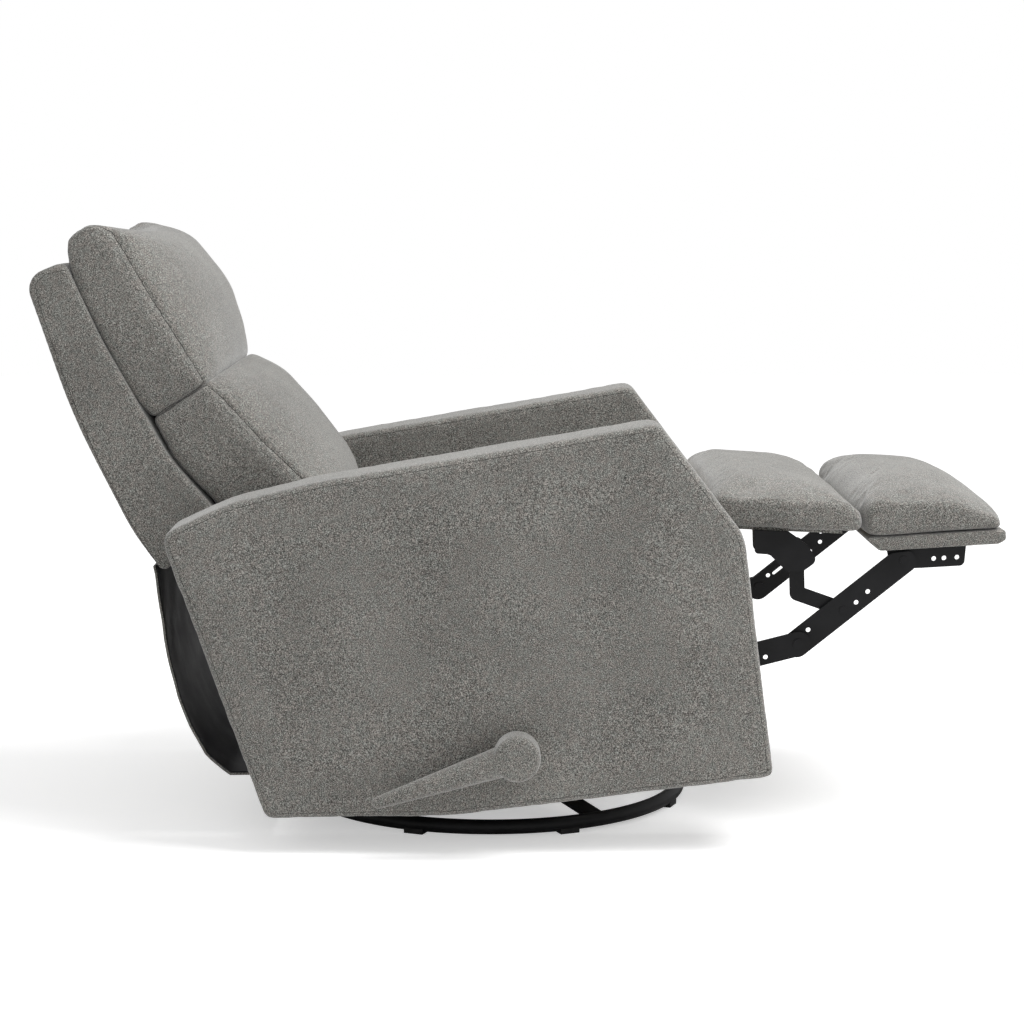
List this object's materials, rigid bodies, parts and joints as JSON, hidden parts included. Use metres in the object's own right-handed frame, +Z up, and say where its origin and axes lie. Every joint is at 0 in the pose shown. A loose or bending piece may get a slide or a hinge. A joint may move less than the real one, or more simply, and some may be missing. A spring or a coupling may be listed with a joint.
{
  "type": "swivel glider recliner",
  "caption": "Upholstered armchair that swivels and glides on a round steel base, with a reclining back, a folding footrest on steel links and a wrapped side handle.",
  "frame": {"origin": "on the swivel axis, on the floor under the middle of the base ring", "axes": "+X forward as the sitter looks, +Y to the sitter's left, +Z up; the chair stands with the footrest out and the back reclined"},
  "size_m": [1.4153, 0.849, 0.8914],
  "materials": {
    "upholstery": "grey heathered woven cover",
    "board_cover": "grey woven cover stapled over a board",
    "timber": "plain sawn board and plywood",
    "black_steel": "satin black powder coat",
    "bright_steel": "plain zinc plated",
    "spring_wire": "oiled spring wire",
    "glide_plastic": "moulded black"
  },
  "bodies": {
    "base": {"base_ring": "black_steel", "floor_pads": "glide_plastic", "spoke_spider": "black_steel", "lower_race": "bright_steel"},
    "swivel": {"upper_race": "bright_steel", "bearing_balls": "bright_steel", "right_glide_frame": "black_steel", "left_glide_frame": "black_steel", "glide_cross_channels": "black_steel"},
    "front_links": {"front_glide_links": "black_steel"},
    "rear_links": {"rear_glide_links": "black_steel"},
    "carriage": {"right_carriage_rail": "black_steel", "left_carriage_rail": "black_steel", "carriage_tubes": "black_steel"},
    "seat_body": {"right_arm_cover": "upholstery", "right_arm_frame": "timber", "left_arm_cover": "upholstery", "left_arm_frame": "timber", "right_mechanism_plate": "black_steel", "left_mechanism_plate": "black_steel", "cross_bars": "black_steel", "tilt_shaft": "black_steel", "seat_box": "timber", "seat_springs": "spring_wire", "seat_cushion": "upholstery", "rear_bottom_rail": "timber", "back_apron": "upholstery"},
    "back": {"back_shell": "upholstery", "back_frame": "timber", "back_springs": "spring_wire", "right_back_bracket": "black_steel", "left_back_bracket": "black_steel", "head_cushion": "upholstery", "lumbar_cushion": "upholstery"},
    "drive": {"drive_tube": "black_steel", "drive_cranks": "black_steel", "handle_core": "black_steel", "handle_wrap": "upholstery"},
    "rods": {"drive_rods": "black_steel"},
    "lower_links": {"right_lower_link": "black_steel", "left_lower_link": "black_steel"},
    "long_bars": {"right_long_bar": "black_steel", "left_long_bar": "black_steel"},
    "footrest": {"footrest_board": "board_cover", "footrest_pad": "upholstery", "right_footrest_bracket": "black_steel", "left_footrest_bracket": "black_steel"},
    "bridge": {"bridging_board": "board_cover", "bridging_pad": "upholstery", "right_pad_bracket": "black_steel", "left_pad_bracket": "black_steel", "right_bent_link": "black_steel", "left_bent_link": "black_steel"}
  },
  "joints": [
    {"name": "swivel_turn", "type": "hinge", "parent": "base", "child": "swivel", "pos_m": [0, 0, 0.06], "axis": [0, 0, 1], "continuous": true},
    {"name": "glide", "type": "hinge", "parent": "swivel", "child": "front_links", "pos_m": [0.13, 0, 0.215], "axis": [0, -1, 0], "range_deg": [-22, 22]},
    {"name": "glide_rear_link", "type": "hinge", "parent": "swivel", "child": "rear_links", "pos_m": [-0.13, 0, 0.215], "axis": [0, -1, 0], "range_deg": [-22, 22]},
    {"name": "glide_carriage", "type": "hinge", "parent": "front_links", "child": "carriage", "pos_m": [0.13, 0, 0.085], "axis": [0, -1, 0], "range_deg": [-22, 22]},
    {"name": "seat_tilt", "type": "hinge", "parent": "carriage", "child": "seat_body", "pos_m": [0.04, 0, 0.2], "axis": [0, -1, 0], "range_deg": [-7, 0]},
    {"name": "back_recline", "type": "hinge", "parent": "seat_body", "child": "back", "pos_m": [-0.1996, 0, 0.32977], "axis": [0, -1, 0], "range_deg": [-13, 0], "deforming": ["back_apron"]},
    {"name": "handle", "type": "hinge", "parent": "seat_body", "child": "drive", "pos_m": [0.03605, 0, 0.15015], "axis": [0, -1, 0], "range_deg": [-150, 0]},
    {"name": "rod_pivot", "type": "hinge", "parent": "drive", "child": "rods", "pos_m": [0.03561, 0, 0.17568], "axis": [0, -1, 0], "range_deg": [0, 178.1]},
    {"name": "lower_link_pivot", "type": "hinge", "parent": "seat_body", "child": "lower_links", "pos_m": [0.26259, 0, 0.23338], "axis": [0, -1, 0], "range_deg": [0, 121.8]},
    {"name": "long_bar_pivot", "type": "hinge", "parent": "lower_links", "child": "long_bars", "pos_m": [0.44999, 0, 0.28097], "axis": [0, -1, 0], "range_deg": [-201.8, 0]},
    {"name": "footrest_pivot", "type": "hinge", "parent": "long_bars", "child": "footrest", "pos_m": [0.60303, 0, 0.40404], "axis": [0, -1, 0], "range_deg": [-2.5, 0]},
    {"name": "bridge_pivot", "type": "hinge", "parent": "long_bars", "child": "bridge", "pos_m": [0.51601, 0, 0.32998], "axis": [0, -1, 0], "range_deg": [-4.5, 0]}
  ],
  "couplings": [
    {"joint": "glide_rear_link", "follows": "glide", "ratio": 1},
    {"joint": "glide_carriage", "follows": "glide", "ratio": -1},
    {"joint": "back_recline", "follows": "seat_tilt", "ratio": 1.8571},
    {"joint": "rod_pivot", "follows": "handle", "ratio": -1.1838},
    {"joint": "lower_link_pivot", "follows": "handle", "ratio": -0.80856},
    {"joint": "long_bar_pivot", "follows": "handle", "ratio": 1.3417},
    {"joint": "footrest_pivot", "follows": "handle", "ratio": 0.013503},
    {"joint": "bridge_pivot", "follows": "handle", "ratio": 0.026836}
  ]
}
